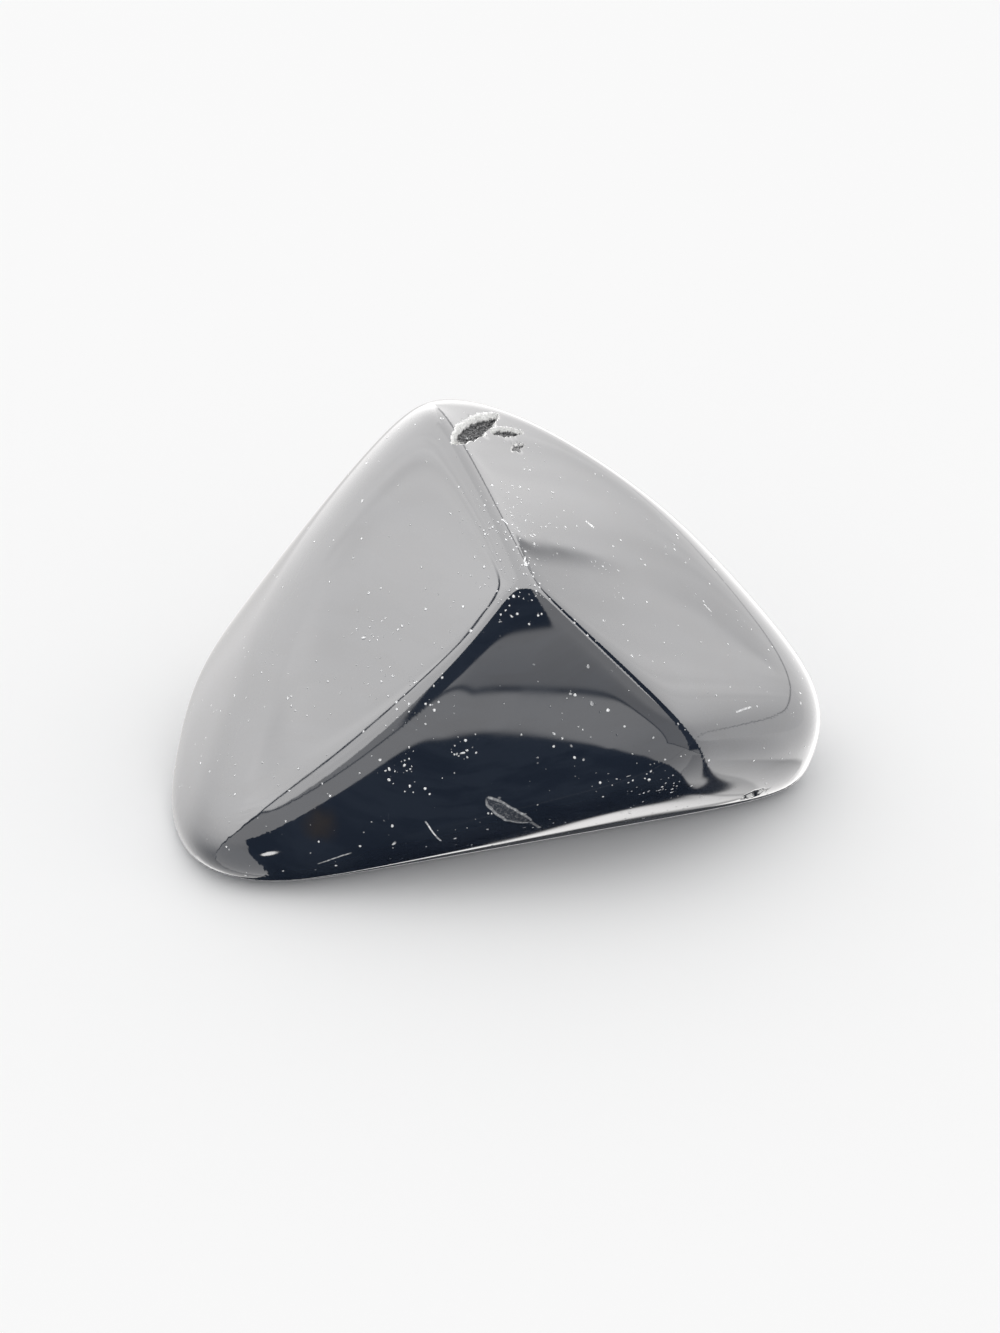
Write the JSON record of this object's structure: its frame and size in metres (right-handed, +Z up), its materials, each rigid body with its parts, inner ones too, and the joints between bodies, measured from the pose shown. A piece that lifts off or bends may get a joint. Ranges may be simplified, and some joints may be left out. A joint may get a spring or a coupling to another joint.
{
  "type": "tumbled obsidian stone",
  "caption": "Tumble-polished lump of black volcanic glass with three large faces meeting at a blunt corner, chipped near its top, resting on a flat.",
  "frame": {"origin": "on the resting flat, straight below the heart of the stone from which its faces are measured", "axes": "+X to the right along the longest side, +Y to the back, +Z up from the resting flat; the blunt corner of the three large faces points to -Y and +Z"},
  "size_m": [0.0331, 0.0219, 0.0202],
  "materials": {
    "black_obsidian": "polished"
  },
  "bodies": {
    "root": {"obsidian_stone": "black_obsidian"}
  },
  "joints": []
}
